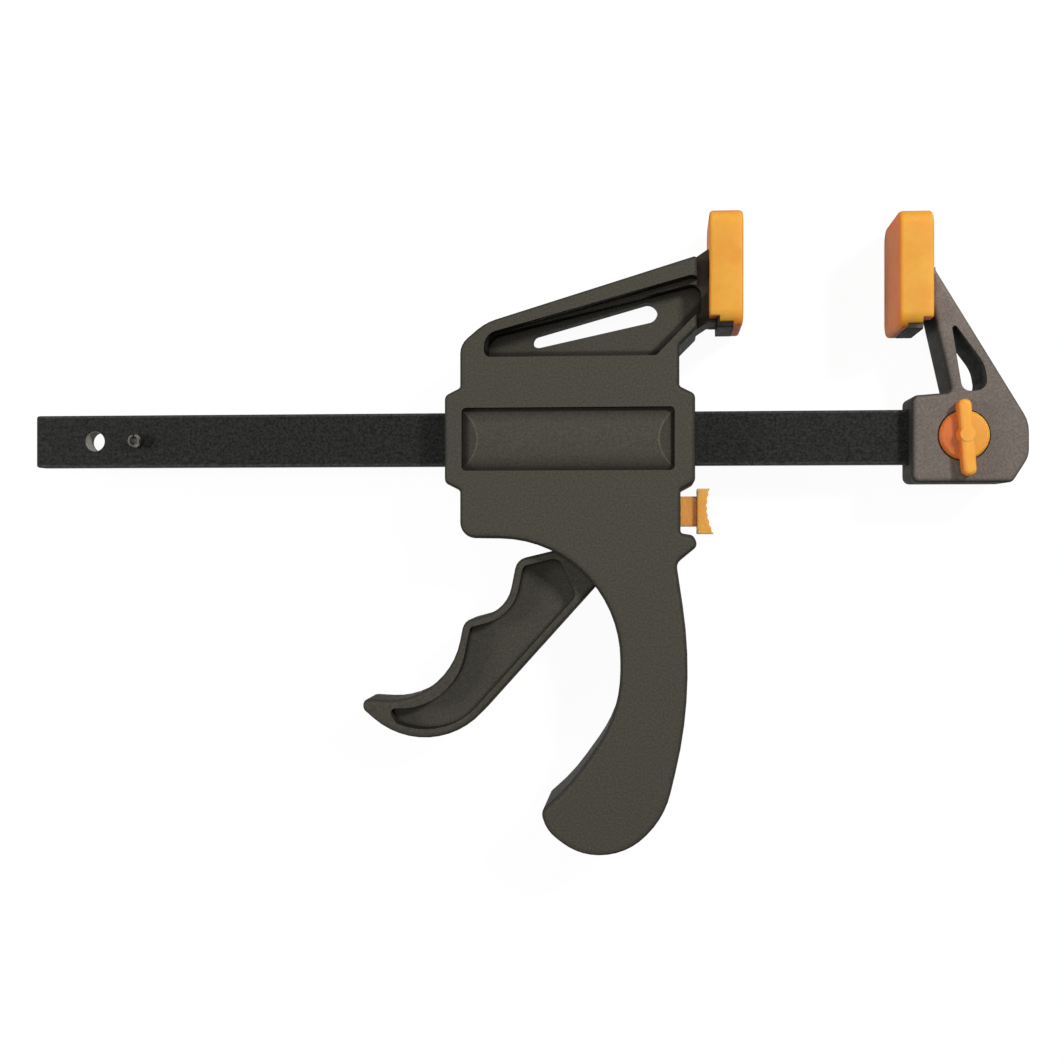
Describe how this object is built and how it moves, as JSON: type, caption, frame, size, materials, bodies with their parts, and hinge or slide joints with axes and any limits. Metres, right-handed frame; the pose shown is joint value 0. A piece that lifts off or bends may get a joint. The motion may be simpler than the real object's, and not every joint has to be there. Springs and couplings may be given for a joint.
{
  "type": "trigger bar clamp",
  "caption": "One-handed bar clamp: a moulded body with a squeeze trigger and a release button slides along a flat steel bar towards a fixed jaw, both jaws with soft pads.",
  "frame": {"origin": "middle of the underside's bounding rectangle, with the clamp lying flat on its side", "axes": "+X along the bar towards the fixed jaw, +Y from the bar up to the pads, +Z through the clamp's thickness, from the back to the front"},
  "size_m": [0.3532, 0.2224, 0.03],
  "materials": {
    "bar_steel": "black oxide, satin",
    "pin_steel": "turned steel",
    "body_plastic": "grained black-grey moulding",
    "pad_rubber": "orange, soft matt",
    "orange_plastic": "orange, satin",
    "screw_steel": "black",
    "plate_steel": "plain hardened steel",
    "spring_steel": "spring wire"
  },
  "bodies": {
    "bar_and_fixed_jaw": {"bar": "bar_steel", "stop_pin": "pin_steel", "fixed_jaw": "body_plastic", "fixed_pad": "pad_rubber"},
    "carriage": {"front_shell": "body_plastic", "rear_shell": "body_plastic", "shell_screws": "screw_steel", "moving_pad": "pad_rubber", "trigger_pin": "pin_steel", "drive_spring": "spring_steel", "brake_spring": "spring_steel"},
    "trigger": {"trigger": "body_plastic"},
    "drive": {"drive_plate_left": "plate_steel", "drive_plate_right": "plate_steel"},
    "brake": {"brake_plate": "plate_steel"},
    "button": {"release_button": "orange_plastic"},
    "lock": {"jaw_pin": "pin_steel", "wing_knob": "orange_plastic"}
  },
  "joints": [
    {"name": "jaw_slide", "type": "slide", "parent": "bar_and_fixed_jaw", "child": "carriage", "axis": [1, 0, 0], "range_m": [-0.112, 0.0521]},
    {"name": "trigger_squeeze", "type": "hinge", "parent": "carriage", "child": "trigger", "pos_m": [0.03605, 0.00036, 0.015], "axis": [0, 0, 1], "range_deg": [0, 25], "stiffness_Nm_per_rad": 1.5, "springref_deg": -8.59},
    {"name": "drive_stroke", "type": "slide", "parent": "carriage", "child": "drive", "axis": [-1, 0, 0], "range_m": [0, 0.0071], "deforming": ["drive_spring"]},
    {"name": "button_press", "type": "slide", "parent": "carriage", "child": "button", "axis": [-1, 0, 0], "range_m": [0, 0.00165], "stiffness_N_per_m": 400, "springref_m": -0.002},
    {"name": "brake_tilt", "type": "hinge", "parent": "carriage", "child": "brake", "pos_m": [0.04945, 0.04676, 0.015], "axis": [0, 0, 1], "range_deg": [-2.6, 0], "deforming": ["brake_spring"]},
    {"name": "pin_turn", "type": "hinge", "parent": "bar_and_fixed_jaw", "child": "lock", "pos_m": [0.15445, 0.03336, 0.015], "axis": [0, 0, 1], "range_deg": [0, 90]}
  ],
  "couplings": [
    {"joint": "drive_stroke", "follows": "trigger_squeeze", "m_per_rad": 0.016},
    {"joint": "brake_tilt", "follows": "button_press", "rad_per_m": -25.4}
  ]
}
